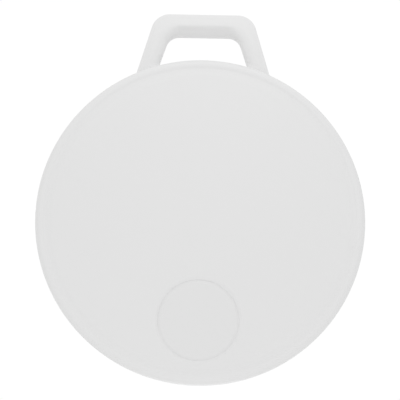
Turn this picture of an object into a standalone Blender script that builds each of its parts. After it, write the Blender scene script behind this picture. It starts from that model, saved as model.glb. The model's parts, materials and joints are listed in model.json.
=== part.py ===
"""Bluetooth tracker tag: a coin-cell finder with a key loop, as separate parts in metres.

The parts are laid out in the tag's plan frame, in millimetres: X to the right, Y up towards the
key loop, and height H from the flat back (0) towards the front. One empty stands that frame up,
so that the front faces -Y and the loop points to +Z.
"""

from math import atan2, cos, pi, radians, sin, sqrt, tan

import bmesh
import bpy
from mathutils import Vector

MM = 0.001

# Body
BODY_RADIUS = 19.0
BODY_DEPTH = 8.0
CREST_RADIUS = 18.35  # where the front rim is highest
FRONT_ROUNDING_DEPTH = 1.2  # from the crest back to the widest line
BACK_RADIUS = 15.6  # the flat back
BACK_CURVE_ANGLE = 55.0  # how far round its ellipse the side runs
BACK_EDGE_ROUNDING = 0.5
RIM_INNER_RADIUS = 17.80  # wall of the recess that the front cover sits in
RIM_INNER_H = 7.85
LEDGE_RADIUS = 16.9
LEDGE_H = 6.70
BACK_WALL = 1.8

# Front cover and button
COVER_RADIUS = 17.74
COVER_BACK_H = 6.84
COVER_FRONT_H = 7.92
COVER_EDGE = 0.74  # how far in the cover's edge starts to fall
COVER_EDGE_DROP = 0.08
COVER_TAPE_GAP = 0.02  # between the tape and each of the faces that it joins
BUTTON_Y = -11.65
BUTTON_RADIUS = 4.60
BUTTON_HOLE_RADIUS = 4.76
BUTTON_HOLE_CHAMFER = 0.14
BUTTON_EDGE = 0.30
BUTTON_CROWN = 0.16
BUTTON_SET_BACK = 0.04  # of its edge, behind the cover's face
BUTTON_SKIRT_INNER = 3.9
BUTTON_ROOF_H = 7.0
BUTTON_POST_RADIUS = 0.60
BUTTON_POST_H = 6.62
BUTTON_FLANGE_RADIUS = 5.12
BUTTON_FLANGE_THICKNESS = 0.3
BUTTON_FLANGE_GAP = 0.05  # behind the cover

# Key loop: two rounded outlines, of the outside and of the hole
LOOP_TOP = 24.76
LOOP_HALF_WIDTH = 5.71  # at the top line, before its corners are rounded
LOOP_SPLAY = 0.30  # how much wider each leg stands per millimetre down
LOOP_CORNER = 2.2
HOLE_TOP = 22.34
HOLE_HALF_WIDTH = 4.03
HOLE_SPLAY = 0.33
HOLE_CORNER = 1.6
LOOP_FOOT_RADIUS = 17.45  # where the legs end, inside the body's wall
LOOP_BACK_H = 4.10
LOOP_FRONT_H = 6.45
LOOP_CHAMFER = 1.08  # the sloping inner edge, across
LOOP_CHAMFER_DEPTH = 1.18
LOOP_ROUNDING = 0.45

# Coin cell, CR2032
CELL_Y = 1.5
CELL_RADIUS = 10.0
CELL_BACK_H = 1.35
CELL_HEIGHT = 3.2
CAN_WALL = 0.25
CAN_MOUTH_RADIUS = 9.2
FOAM_RADIUS = 7.0

# Battery door and the well that it closes
DOOR_RADIUS = 11.9
DOOR_THICKNESS = 1.0
DOOR_GAP = 0.15
SKIRT_OUTER = 10.75
SKIRT_INNER = 10.15
SKIRT_END_H = 2.2
RIB_COUNT = 6
RIB_SIZE = (0.24, 0.6, 0.7)
RIB_BACK_H = 1.3
RIB_SINK = 0.05  # how far inside the skirt's outer face a rib's centre is
WELL_RADIUS = 10.9
WELL_WALL = 0.8
WELL_END_H = 4.80
LEDGE_GAP = 0.05
SEAL_INNER = 11.15
SEAL_OUTER = 11.75
SEAL_GROOVE_END_H = 1.42
SEAL_SIDE_GAP = 0.1
SEAL_END_GAP = 0.04

# Circuit board
BOARD_RADIUS = 16.0
BOARD_BACK_H = 4.95
BOARD_FRONT_H = 5.55
SCREW_PLACES = ((0.0, 14.75), (12.6, -7.4), (-12.6, -7.4))
SCREW_RADIUS = 0.65
SCREW_HEAD_RADIUS = 1.25
BOSS_RADIUS = 1.35
PILOT_RADIUS = 0.72
PILOT_END_H = 2.4
SOLDER_GAP = 0.02

# Spring contacts, whose lines are (reach, H) points
CONTACT_THICKNESS = 0.10
CONTACT_FOOT_H = 4.86
POSITIVE_LINE = [(8.6, CONTACT_FOOT_H), (10.27, CONTACT_FOOT_H), (10.32, 4.60), (10.14, 3.30), (10.30, 2.55)]
POSITIVE_WIDTH = 2.0
NEGATIVE_LINE = [(4.0, CONTACT_FOOT_H), (2.0, CONTACT_FOOT_H), (-1.8, 4.66), (-3.0, 4.74)]
NEGATIVE_WIDTH = 2.2

# Push switch
SWITCH_SIZE = (3.6, 3.2, 0.80)
SWITCH_POCKET_RADIUS = 1.30
SWITCH_FLOOR = 0.15
SWITCH_FRAME_HOLE = 0.80
SWITCH_FRAME_THICKNESS = 0.08
STEM_RADIUS = 1.05
STEM_REST = 0.66  # of its underside, above the switch's own underside
STEM_NIB_RADIUS = 0.70
STEM_NIB_H = 6.58

# Buzzer
BUZZER_Y = 4.2
BUZZER_RADIUS = 7.5
CERAMIC_RADIUS = 5.4
CERAMIC_HEIGHTS = (6.27, 6.45)
BUZZER_PLATE_HEIGHTS = (6.47, 6.62)
BUZZER_TAPE_RADII = (6.4, 7.4)
BUZZER_TAPE_THICKNESS = 0.18
BUZZER_SPRING_WIDTH = 1.0

# Fineness of the round parts
BODY_STEPS = 60
PIECE_STEPS = 40
SMALL_STEPS = 20
ARC_POINTS = 4
WELD = 3e-6  # in metres: Booleans leave points this close together


# ------------------------------------------------------------------------------- scene, materials


def clear_scene():
    for obj in list(bpy.data.objects):
        bpy.data.objects.remove(obj, do_unlink=True)


def new_collection(name, hidden=False):
    collection = bpy.data.collections.new(name)
    bpy.context.scene.collection.children.link(collection)
    collection.hide_render = hidden
    return collection


def new_look(name, colour, roughness, metallic=0.0):
    look = bpy.data.materials.new(name)
    look.use_nodes = True
    shader = look.node_tree.nodes["Principled BSDF"]
    shader.inputs["Base Color"].default_value = (*colour, 1.0)
    shader.inputs["Roughness"].default_value = roughness
    shader.inputs["Metallic"].default_value = metallic
    return look


clear_scene()
PARTS = new_collection("bluetooth_tracker_tag")
CUTTERS = new_collection("cutters", hidden=True)
FRAME = bpy.data.objects.new("tag_plan_frame", None)
FRAME.rotation_euler = (pi / 2, 0.0, 0.0)
PARTS.objects.link(FRAME)

WHITE_SHELL = new_look("white_shell_plastic", (0.80, 0.80, 0.80), 0.42)
WHITE_BUTTON = new_look("white_button_plastic", (0.80, 0.80, 0.80), 0.42)
BLACK_MOULDING = new_look("black_moulding", (0.02, 0.02, 0.02), 0.5)
BOARD_GREEN = new_look("board_solder_mask", (0.01, 0.10, 0.04), 0.35)
CHIP_BLACK = new_look("chip_epoxy", (0.015, 0.015, 0.017), 0.45)
CERAMIC_TAN = new_look("capacitor_ceramic", (0.45, 0.30, 0.18), 0.5)
CERAMIC_WHITE = new_look("antenna_ceramic", (0.75, 0.75, 0.72), 0.4)
STEEL = new_look("stainless_steel", (0.60, 0.60, 0.58), 0.30, 1.0)
SPRING_METAL = new_look("plated_spring_metal", (0.75, 0.68, 0.45), 0.30, 1.0)
BRASS = new_look("brass", (0.80, 0.60, 0.25), 0.35, 1.0)
SILVER_CERAMIC = new_look("silvered_ceramic", (0.72, 0.72, 0.70), 0.45)
SEAL_RUBBER = new_look("seal_silicone", (0.55, 0.56, 0.58), 0.6)
FOAM = new_look("cell_foam", (0.03, 0.03, 0.03), 0.95)
ADHESIVE = new_look("adhesive_tape", (0.70, 0.68, 0.60), 0.6)
CATHODE = new_look("cathode_powder", (0.02, 0.02, 0.02), 0.9)
LITHIUM = new_look("lithium_metal", (0.55, 0.55, 0.57), 0.4, 1.0)


# ---------------------------------------------------------------------------------- shape helpers


def add_object(name, mesh, look, place=(0.0, 0.0, 0.0), turn=0.0, cutter=False):
    """An object in the plan frame, placed in millimetres and turned about H."""
    obj = bpy.data.objects.new(name, mesh)
    (CUTTERS if cutter else PARTS).objects.link(obj)
    obj.parent = FRAME
    obj.location = Vector(place) * MM
    obj.rotation_euler = (0.0, 0.0, turn)
    if cutter:
        obj.hide_render = True
        obj.display_type = "WIRE"
    else:
        mesh.materials.append(look)
    return obj


def weld(mesh, distance):
    """Merge points this close together, and face every side outwards."""
    shape = bmesh.new()
    shape.from_mesh(mesh)
    bmesh.ops.remove_doubles(shape, verts=shape.verts, dist=distance)
    bmesh.ops.recalc_face_normals(shape, faces=shape.faces)
    shape.to_mesh(mesh)
    shape.free()


def settle(obj):
    """Apply the object's modifiers, and shade it smooth except across its sharp edges."""
    bpy.context.view_layer.update()
    evaluated = obj.evaluated_get(bpy.context.evaluated_depsgraph_get())
    mesh = bpy.data.meshes.new_from_object(evaluated)
    obj.modifiers.clear()
    obj.data = mesh
    weld(mesh, WELD)
    mesh.shade_smooth()
    mesh.set_sharp_from_angle(angle=radians(35))
    return obj


def signed_area(outline):
    pairs = zip(outline, outline[1:] + outline[:1])
    return sum(u0 * v1 - u1 * v0 for (u0, v0), (u1, v1) in pairs) / 2


def turned(name, outline, look, place=(0.0, 0.0, 0.0), steps=PIECE_STEPS, cutter=False):
    """A turned piece: its closed half section, as (radius, H) points, screwed about H."""
    points = list(outline)
    if signed_area(points) > 0:
        points.reverse()
    on_axis = [i for i, (radius, _) in enumerate(points) if radius < 1e-6]
    ring = not on_axis
    if not ring:
        while not (points[0][0] < 1e-6 and points[-1][0] < 1e-6):
            points = points[1:] + points[:1]
    mesh = bpy.data.meshes.new(name)
    edges = [(i, i + 1) for i in range(len(points) - 1)]
    if ring:
        edges.append((len(points) - 1, 0))
    mesh.from_pydata([(r * MM, 0.0, h * MM) for r, h in points], edges, [])
    obj = add_object(name, mesh, look, place, cutter=cutter)
    screw = obj.modifiers.new("turn", "SCREW")
    screw.axis = "Z"
    screw.angle = 2 * pi
    screw.steps = steps
    screw.render_steps = steps
    screw.use_merge_vertices = True
    screw.merge_threshold = 1e-6
    return settle(obj)


def plate(name, outline, low, high, look, place=(0.0, 0.0), turn=0.0, cutter=False, holes=()):
    """A flat piece: a filled outline from H = low to H = high, with round holes (x, y, radius)."""
    curve = bpy.data.curves.new(name, "CURVE")
    curve.dimensions = "2D"
    curve.fill_mode = "BOTH"
    curve.extrude = (high - low) / 2 * MM
    rings = [outline] + [circle(radius, SMALL_STEPS, (x, y)) for x, y, radius in holes]
    for ring in rings:
        spline = curve.splines.new("POLY")
        spline.points.add(len(ring) - 1)
        for point, (x, y) in zip(spline.points, ring):
            point.co = (x * MM, y * MM, 0.0, 1.0)
        spline.use_cyclic_u = True
    guide = bpy.data.objects.new(name + "_outline", curve)
    CUTTERS.objects.link(guide)
    bpy.context.view_layer.update()
    evaluated = guide.evaluated_get(bpy.context.evaluated_depsgraph_get())
    mesh = bpy.data.meshes.new_from_object(evaluated)
    bpy.data.objects.remove(guide, do_unlink=True)
    weld(mesh, 1e-7)
    mesh.name = name
    mesh.materials.clear()
    return add_object(name, mesh, look, (*place, (low + high) / 2), turn, cutter)


def circle(radius, steps=PIECE_STEPS, centre=(0.0, 0.0)):
    angles = [2 * pi * step / steps for step in range(steps)]
    return [(centre[0] + radius * cos(a), centre[1] + radius * sin(a)) for a in angles]


def block(name, size, place, look, turn=0.0, rounding=0.0, cutter=False):
    """A box of size (x, y, h), centred at place in x and y, and standing on place's H."""
    mesh = bpy.data.meshes.new(name)
    shape = bmesh.new()
    bmesh.ops.create_cube(shape, size=1.0)
    bmesh.ops.scale(shape, vec=Vector(size) * MM, verts=shape.verts)
    shape.to_mesh(mesh)
    shape.free()
    obj = add_object(name, mesh, look, (place[0], place[1], place[2] + size[2] / 2), turn, cutter)
    if rounding:
        bevel = obj.modifiers.new("rounding", "BEVEL")
        bevel.width = rounding * MM
        bevel.segments = 1
        settle(obj)
    return obj


def leaf(name, line, thickness, width, look, place=(0.0, 0.0), turn=0.0):
    """A strip of spring metal: its bent centre line in (reach, H), made thick and then wide."""
    sides = [[], []]
    for i, here in enumerate(line):
        before = Vector(line[max(i - 1, 0)])
        after = Vector(line[min(i + 1, len(line) - 1)])
        along_last = (Vector(here) - before).normalized() if i else (after - Vector(here)).normalized()
        along_next = (after - Vector(here)).normalized() if i < len(line) - 1 else along_last
        across = (along_last + along_next).normalized().orthogonal()
        stretch = 1 / max(across.dot(along_last.orthogonal()), 0.5)
        for side, sign in zip(sides, (1, -1)):
            side.append(Vector(here) + across * (sign * stretch * thickness / 2))
    section = [*sides[0], *reversed(sides[1])]
    mesh = bpy.data.meshes.new(name)
    shape = bmesh.new()
    corners = [shape.verts.new((p.x * MM, -width / 2 * MM, p.y * MM)) for p in section]
    face = shape.faces.new(corners)
    grown = bmesh.ops.extrude_face_region(shape, geom=[face])["geom"]
    moved = [part for part in grown if isinstance(part, bmesh.types.BMVert)]
    bmesh.ops.translate(shape, vec=(0.0, width * MM, 0.0), verts=moved)
    bmesh.ops.recalc_face_normals(shape, faces=shape.faces)
    shape.to_mesh(mesh)
    shape.free()
    return add_object(name, mesh, look, (*place, 0.0), turn)


def combine(obj, other, operation):
    """Boolean with another object, applied at once; the other object is used up."""
    change = obj.modifiers.new(operation.lower(), "BOOLEAN")
    change.operation = operation
    change.object = other
    change.solver = "EXACT"
    settle(obj)
    bpy.data.objects.remove(other, do_unlink=True)
    return obj


# ------------------------------------------------------------------------------------ main housing


def body_side():
    """(radius, H) down the outside: front rounding, widest line, then the curve in to the back."""
    points = []
    for step in range(7):
        angle = pi / 2 * step / 6
        radius = CREST_RADIUS + (BODY_RADIUS - CREST_RADIUS) * sin(angle)
        points.append((radius, BODY_DEPTH - FRONT_ROUNDING_DEPTH * (1 - cos(angle))))
    last = radians(BACK_CURVE_ANGLE)
    reach = BODY_DEPTH - FRONT_ROUNDING_DEPTH
    for step in range(1, 9):
        angle = last * step / 8
        inward = (BODY_RADIUS - BACK_RADIUS) * (1 - cos(angle)) / (1 - cos(last))
        points.append((BODY_RADIUS - inward, reach * (1 - sin(angle) / sin(last))))
    return points


def rounded_arch(top, half_width, splay, corner, inset):
    """An open outline from the left foot over the top to the right foot, offset inwards by inset."""
    slope = sqrt(1 + splay * splay)
    top = top - inset
    half_width = half_width - inset * slope + splay * inset
    corner = corner - inset
    half_turn = (pi / 2 - atan2(splay, 1.0)) / 2
    centre = (half_width - corner * tan(half_turn), top - corner)
    right = []
    for step in range(2 * ARC_POINTS):
        angle = pi / 2 - 2 * half_turn * step / (2 * ARC_POINTS - 1)
        right.append((centre[0] + corner * cos(angle), centre[1] + corner * sin(angle)))
    down = Vector((splay, -1.0)) / slope
    start = Vector((half_width, top))
    along = -start.dot(down) - sqrt(start.dot(down) ** 2 - start.dot(start) + LOOP_FOOT_RADIUS ** 2)
    foot = start + down * along
    right.append((foot.x, foot.y))
    return [(-x, y) for x, y in reversed(right)] + right


def key_loop():
    """The loop, lofted round its section; its inner front edge slopes, the others are rounded."""
    def outer(inset, height):
        arch = rounded_arch(LOOP_TOP, LOOP_HALF_WIDTH, LOOP_SPLAY, LOOP_CORNER, inset)
        return [(x, y, height) for x, y in arch]

    def inner(outset, height):
        arch = rounded_arch(HOLE_TOP, HOLE_HALF_WIDTH, HOLE_SPLAY, HOLE_CORNER, -outset)
        return [(x, y, height) for x, y in arch]

    rings = []
    for step in range(4):
        angle = pi / 2 * step / 3
        inset = LOOP_ROUNDING * (1 - sin(angle))
        rings.append(outer(inset, LOOP_BACK_H + LOOP_ROUNDING * (1 - cos(angle))))
    for step in range(4):
        angle = pi / 2 * step / 3
        inset = LOOP_ROUNDING * (1 - cos(angle))
        rings.append(outer(inset, LOOP_FRONT_H - LOOP_ROUNDING * (1 - sin(angle))))
    rings.append(inner(LOOP_CHAMFER, LOOP_FRONT_H))
    rings.append(inner(0.0, LOOP_FRONT_H - LOOP_CHAMFER_DEPTH))
    rings.append(inner(0.0, LOOP_BACK_H + LOOP_ROUNDING / 2))
    rings.append(inner(LOOP_ROUNDING / 2, LOOP_BACK_H))

    mesh = bpy.data.meshes.new("key_loop")
    shape = bmesh.new()
    grid = [[shape.verts.new(Vector(point) * MM) for point in ring] for ring in rings]
    for lower, upper in zip(grid, grid[1:] + grid[:1]):
        for i in range(len(lower) - 1):
            shape.faces.new((lower[i], lower[i + 1], upper[i + 1], upper[i]))
    shape.faces.new([ring[0] for ring in grid])
    shape.faces.new([ring[-1] for ring in reversed(grid)])
    bmesh.ops.recalc_face_normals(shape, faces=shape.faces)
    shape.to_mesh(mesh)
    shape.free()
    return add_object("key_loop", mesh, None, cutter=True)


def main_housing():
    rim = [
        (RIM_INNER_RADIUS, RIM_INNER_H),
        (RIM_INNER_RADIUS + 0.18, RIM_INNER_H + 0.05),
        (CREST_RADIUS - 0.17, BODY_DEPTH - 0.02),
    ]
    back_edge = [
        (BACK_RADIUS + 0.10, 0.22),
        (BACK_RADIUS - 0.12, 0.05),
        (BACK_RADIUS - BACK_EDGE_ROUNDING, 0.0),
        (0.0, 0.0),
    ]
    inside = [
        (0.0, BACK_WALL),
        (15.6, BACK_WALL),
        (16.3, 3.0),
        (16.8, 4.0),
        (LEDGE_RADIUS, 5.5),
        (LEDGE_RADIUS, LEDGE_H),
        (RIM_INNER_RADIUS, LEDGE_H),
    ]
    outline = rim + body_side()[:-1] + back_edge + inside
    housing = turned("main_housing", outline, WHITE_SHELL, steps=BODY_STEPS)
    combine(housing, key_loop(), "UNION")

    well = [
        (WELL_RADIUS - 0.5, BACK_WALL - 0.4),
        (WELL_RADIUS + WELL_WALL, BACK_WALL - 0.4),
        (WELL_RADIUS + WELL_WALL, WELL_END_H),
        (WELL_RADIUS - 0.5, WELL_END_H),
    ]
    combine(housing, turned("well", well, None, (0.0, CELL_Y, 0.0), cutter=True), "UNION")
    for x, y in SCREW_PLACES:
        top = BOARD_BACK_H - SOLDER_GAP
        boss = [
            (0.0, BACK_WALL - 0.5), (BOSS_RADIUS, BACK_WALL - 0.5), (BOSS_RADIUS, top),
            (PILOT_RADIUS, top), (PILOT_RADIUS, PILOT_END_H), (0.0, PILOT_END_H),
        ]
        combine(housing, turned("boss", boss, None, (x, y, 0.0), SMALL_STEPS, True), "UNION")

    recess_radius = DOOR_RADIUS + DOOR_GAP
    ledge = DOOR_THICKNESS + LEDGE_GAP
    opening = [
        (0.0, -1.0), (recess_radius, -1.0), (recess_radius, ledge),
        (SEAL_OUTER + SEAL_SIDE_GAP, ledge), (SEAL_OUTER + SEAL_SIDE_GAP, SEAL_GROOVE_END_H),
        (SEAL_INNER - SEAL_SIDE_GAP, SEAL_GROOVE_END_H), (SEAL_INNER - SEAL_SIDE_GAP, ledge),
        (WELL_RADIUS, ledge), (WELL_RADIUS, WELL_END_H + 1.0), (0.0, WELL_END_H + 1.0),
    ]
    combine(housing, turned("door_opening", opening, None, (0.0, CELL_Y, 0.0), cutter=True), "DIFFERENCE")

    notch = [(0.0, -0.8), (1.6, -0.8), (1.45, 0.2), (1.1, 0.55), (0.6, 0.72), (0.0, 0.76)]
    place = (0.0, CELL_Y - recess_radius, 0.0)
    combine(housing, turned("pry_notch", notch, None, place, SMALL_STEPS, True), "DIFFERENCE")
    return housing


# ----------------------------------------------------------------------------- cover, button, door


def front_cover():
    outline = [
        (0.0, COVER_FRONT_H), (COVER_RADIUS - COVER_EDGE, COVER_FRONT_H),
        (COVER_RADIUS - COVER_EDGE / 2, COVER_FRONT_H - COVER_EDGE_DROP / 2),
        (COVER_RADIUS, COVER_FRONT_H - COVER_EDGE_DROP), (COVER_RADIUS, COVER_BACK_H), (0.0, COVER_BACK_H),
    ]
    cover = turned("front_cover", outline, WHITE_SHELL, steps=BODY_STEPS)
    edge = BUTTON_HOLE_CHAMFER
    hole = [
        (0.0, COVER_BACK_H - 1.0), (BUTTON_HOLE_RADIUS, COVER_BACK_H - 1.0),
        (BUTTON_HOLE_RADIUS, COVER_FRONT_H - edge), (BUTTON_HOLE_RADIUS + edge, COVER_FRONT_H + 0.001),
        (BUTTON_HOLE_RADIUS + edge, COVER_FRONT_H + 1.0), (0.0, COVER_FRONT_H + 1.0),
    ]
    return combine(cover, turned("button_hole", hole, None, (0.0, BUTTON_Y, 0.0), cutter=True), "DIFFERENCE")


def button_cap():
    edge_h = COVER_FRONT_H - BUTTON_SET_BACK
    crown = []
    for step in range(5):
        share = step / 4
        crown.append(((BUTTON_RADIUS - BUTTON_EDGE) * share, edge_h + BUTTON_CROWN * (1 - share * share)))
    side = [(BUTTON_RADIUS - 0.12, edge_h - 0.06), (BUTTON_RADIUS, edge_h - 0.25)]
    flange_front = COVER_BACK_H - BUTTON_FLANGE_GAP
    flange_back = flange_front - BUTTON_FLANGE_THICKNESS
    outline = crown + side + [
        (BUTTON_RADIUS, flange_front), (BUTTON_FLANGE_RADIUS, flange_front),
        (BUTTON_FLANGE_RADIUS, flange_back), (BUTTON_SKIRT_INNER, flange_back),
        (BUTTON_SKIRT_INNER, BUTTON_ROOF_H), (BUTTON_POST_RADIUS, BUTTON_ROOF_H),
        (BUTTON_POST_RADIUS, BUTTON_POST_H), (0.0, BUTTON_POST_H),
    ]
    return turned("button_cap", outline, WHITE_BUTTON, (0.0, BUTTON_Y, 0.0))


def battery_door():
    outline = [
        (0.0, 0.0), (DOOR_RADIUS - 0.25, 0.0), (DOOR_RADIUS - 0.07, 0.07), (DOOR_RADIUS, 0.25),
        (DOOR_RADIUS, DOOR_THICKNESS), (SKIRT_OUTER, DOOR_THICKNESS), (SKIRT_OUTER, SKIRT_END_H),
        (SKIRT_INNER, SKIRT_END_H), (SKIRT_INNER, DOOR_THICKNESS), (0.0, DOOR_THICKNESS),
    ]
    door = turned("battery_door", outline, WHITE_SHELL, (0.0, CELL_Y, 0.0))
    for index in range(RIB_COUNT):
        angle = 2 * pi * index / RIB_COUNT
        rib_radius = SKIRT_OUTER - RIB_SINK
        place = (rib_radius * cos(angle), CELL_Y + rib_radius * sin(angle), RIB_BACK_H)
        rib = block("crush_rib", RIB_SIZE, place, None, turn=angle, cutter=True)
        combine(door, rib, "UNION")
    return door


def door_seal():
    low = DOOR_THICKNESS + SEAL_END_GAP
    high = SEAL_GROOVE_END_H - SEAL_END_GAP
    section = [(SEAL_INNER, low), (SEAL_OUTER, low), (SEAL_OUTER, high), (SEAL_INNER, high)]
    return turned("door_seal", section, SEAL_RUBBER, (0.0, CELL_Y, 0.0))


# ------------------------------------------------------------------------------------- coin cell


def coin_cell():
    back = CELL_BACK_H
    front = CELL_BACK_H + CELL_HEIGHT
    place = (0.0, CELL_Y, 0.0)
    can = [
        (0.0, back), (CELL_RADIUS - 0.25, back), (CELL_RADIUS - 0.07, back + 0.07),
        (CELL_RADIUS, back + 0.25), (CELL_RADIUS, front - 0.25), (CELL_RADIUS - 0.15, front - 0.1),
        (CAN_MOUTH_RADIUS, front - 0.1), (CAN_MOUTH_RADIUS, front - 0.3),
        (CELL_RADIUS - CAN_WALL, front - 0.3), (CELL_RADIUS - CAN_WALL, back + CAN_WALL),
        (0.0, back + CAN_WALL),
    ]
    turned("cell_can", can, STEEL, place)
    gasket = [
        (8.65, front - 0.32), (9.72, front - 0.32), (9.72, front - 1.95),
        (9.34, front - 1.95), (9.34, front - 0.42), (8.65, front - 0.42),
    ]
    turned("cell_gasket", gasket, BLACK_MOULDING, place)
    cap = [
        (0.0, front), (8.35, front), (8.52, front - 0.07), (8.6, front - 0.25), (8.6, front - 0.45),
        (9.3, front - 0.45), (9.3, front - 0.65), (8.4, front - 0.65),
        (8.4, front - 0.22), (0.0, front - 0.22),
    ]
    turned("cell_cap", cap, STEEL, place)
    layers = (
        ("cell_cathode", 9.2, back + 0.27, 3.40, CATHODE),
        ("cell_separator", 9.2, 3.42, 3.50, ADHESIVE),
        ("cell_anode", 8.2, 3.52, front - 0.24, LITHIUM),
    )
    for name, radius, low, high, look in layers:
        plate(name, circle(radius, 36), low, high, look, (0.0, CELL_Y))
    plate("cell_foam_pad", circle(FOAM_RADIUS, 36), DOOR_THICKNESS + 0.02, back - 0.02, FOAM, (0.0, CELL_Y))


def cell_contacts():
    """Two clips at the can's side and a finger under its cap, all soldered to the board's back."""
    place = (0.0, CELL_Y)
    for number, angle in ((1, 0.0), (2, pi)):
        name = f"positive_contact_{number}"
        leaf(name, POSITIVE_LINE, CONTACT_THICKNESS, POSITIVE_WIDTH, SPRING_METAL, place, angle)
    leaf("negative_contact", NEGATIVE_LINE, CONTACT_THICKNESS, NEGATIVE_WIDTH, SPRING_METAL, place)


# ------------------------------------------------------------------------------ board and its parts


def circuit_board():
    holes = [(x, y, SCREW_RADIUS + 0.15) for x, y in SCREW_PLACES]
    outline = circle(BOARD_RADIUS, 60)
    return plate("circuit_board", outline, BOARD_BACK_H, BOARD_FRONT_H, BOARD_GREEN, holes=holes)


def board_parts():
    """Parts on the board's back, below the cell, as (name, size, place, turn, look)."""
    parts = (
        ("bluetooth_chip", (4.0, 4.0, 0.85), (-0.6, -13.0), 0.0, CHIP_BLACK),
        ("main_crystal", (2.0, 1.6, 0.5), (3.0, -12.4), 0.0, STEEL),
        ("sleep_crystal", (1.6, 1.0, 0.5), (3.0, -14.4), 0.0, STEEL),
        ("chip_antenna", (3.2, 1.6, 1.1), (6.9, -13.0), radians(28), CERAMIC_WHITE),
        ("boost_inductor", (2.6, 2.2, 1.2), (-4.6, -13.2), 0.0, CHIP_BLACK),
        ("driver_transistor", (1.6, 1.6, 0.8), (-7.4, -12.2), radians(-30), CHIP_BLACK),
    )
    for name, (length, width, height), (x, y), turn, look in parts:
        low = BOARD_BACK_H - SOLDER_GAP - height
        block(name, (length, width, height), (x, y, low), look, turn, rounding=0.06)
    chips = (
        ("capacitor_1", (4.9, -13.9), CERAMIC_TAN), ("capacitor_2", (4.9, -12.0), CERAMIC_TAN),
        ("capacitor_3", (-2.7, -15.3), CERAMIC_TAN), ("capacitor_4", (9.6, -11.2), CERAMIC_TAN),
        ("resistor_1", (-9.4, -10.9), CHIP_BLACK), ("resistor_2", (1.2, -15.3), CHIP_BLACK),
    )
    for name, (x, y), look in chips:
        low = BOARD_BACK_H - SOLDER_GAP - 0.45
        block(name, (1.0, 0.5, 0.45), (x, y, low), look)


def push_switch():
    floor = BOARD_FRONT_H + SOLDER_GAP
    place = (0.0, BUTTON_Y)
    length, width, height = SWITCH_SIZE
    base = block("switch_base", SWITCH_SIZE, (*place, floor), BLACK_MOULDING)
    bottom, above = floor + SWITCH_FLOOR, floor + 2.0
    pocket = [(0.0, bottom), (SWITCH_POCKET_RADIUS, bottom), (SWITCH_POCKET_RADIUS, above), (0.0, above)]
    combine(base, turned("switch_pocket", pocket, None, (*place, 0.0), SMALL_STEPS, True), "DIFFERENCE")
    top = floor + height
    corners = [(side * length / 2, end * width / 2) for side, end in ((-1, -1), (1, -1), (1, 1), (-1, 1))]
    low = top + SOLDER_GAP
    hole = (0.0, 0.0, SWITCH_FRAME_HOLE)
    plate("switch_frame", corners, low, low + SWITCH_FRAME_THICKNESS, STEEL, place, holes=[hole])
    dome = [
        (0.0, floor + 0.33), (0.6, floor + 0.30), (1.2, floor + 0.20), (1.2, floor + 0.17),
        (1.1, floor + 0.17), (0.6, floor + 0.25), (0.0, floor + 0.28),
    ]
    turned("switch_dome", dome, STEEL, (*place, 0.0), SMALL_STEPS)
    low, shoulder = floor + STEM_REST, top - 0.01
    stem = [
        (0.0, low), (STEM_RADIUS, low), (STEM_RADIUS, shoulder),
        (STEM_NIB_RADIUS, shoulder), (STEM_NIB_RADIUS, STEM_NIB_H), (0.0, STEM_NIB_H),
    ]
    turned("switch_stem", stem, BLACK_MOULDING, (*place, 0.0), SMALL_STEPS)


def buzzer():
    place = (0.0, BUZZER_Y, 0.0)
    inner, outer = BUZZER_TAPE_RADII
    high = COVER_BACK_H - COVER_TAPE_GAP
    low = high - BUZZER_TAPE_THICKNESS
    turned("buzzer_adhesive", [(inner, high), (outer, high), (outer, low), (inner, low)], ADHESIVE, place, 36)
    plate("buzzer_plate", circle(BUZZER_RADIUS), *BUZZER_PLATE_HEIGHTS, BRASS, (0.0, BUZZER_Y))
    plate("buzzer_ceramic", circle(CERAMIC_RADIUS, 36), *CERAMIC_HEIGHTS, SILVER_CERAMIC, (0.0, BUZZER_Y))
    foot = BOARD_FRONT_H + SOLDER_GAP + 0.05
    springs = (
        ("buzzer_spring_1", [(3.2, 6.30), (3.9, 6.38)], (0.0, BUZZER_Y - 10.0)),
        ("buzzer_spring_2", [(3.4, 6.14), (4.1, 6.20)], (-5.0, BUZZER_Y - 7.4)),
    )
    for name, tip, start in springs:
        line = [(0.0, foot), (1.2, foot), *tip]
        leaf(name, line, CONTACT_THICKNESS, BUZZER_SPRING_WIDTH, SPRING_METAL, start, pi / 2)


def board_screws():
    head_low = BOARD_FRONT_H + SOLDER_GAP
    shank = []
    for ridge in range(5):
        high = 5.3 - 0.5 * ridge
        shank += [(SCREW_RADIUS - 0.12, high), (SCREW_RADIUS, high - 0.25)]
    outline = [
        (0.0, head_low + 0.62), (0.9, head_low + 0.62), (1.18, head_low + 0.45),
        (SCREW_HEAD_RADIUS, head_low), (SCREW_RADIUS, head_low), *shank, (0.35, 2.7), (0.0, 2.6),
    ]
    for number, (x, y) in enumerate(SCREW_PLACES, start=1):
        screw = turned(f"board_screw_{number}", outline, STEEL, (x, y, 0.0), 12)
        for turn in (0.0, pi / 2):
            slot = block("slot", (1.3, 0.26, 1.0), (x, y, head_low + 0.30), None, turn + pi / 4, cutter=True)
            combine(screw, slot, "DIFFERENCE")


def cover_adhesive():
    low, high = LEDGE_H + COVER_TAPE_GAP, COVER_BACK_H - COVER_TAPE_GAP
    inner, outer = LEDGE_RADIUS + 0.15, RIM_INNER_RADIUS - 0.2
    return turned("cover_adhesive", [(inner, low), (outer, low), (outer, high), (inner, high)], ADHESIVE)


main_housing()
front_cover()
cover_adhesive()
button_cap()
battery_door()
door_seal()
coin_cell()
cell_contacts()
circuit_board()
board_parts()
push_switch()
buzzer()
board_screws()
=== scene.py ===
"""Looks of the bluetooth tracker tag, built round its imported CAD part.

Shapes are worked out in millimetres in the tag's own frame: X to the right, Z up towards the key
loop, and height H from the flat back (0) towards the front, so that Y = -H.
"""

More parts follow.
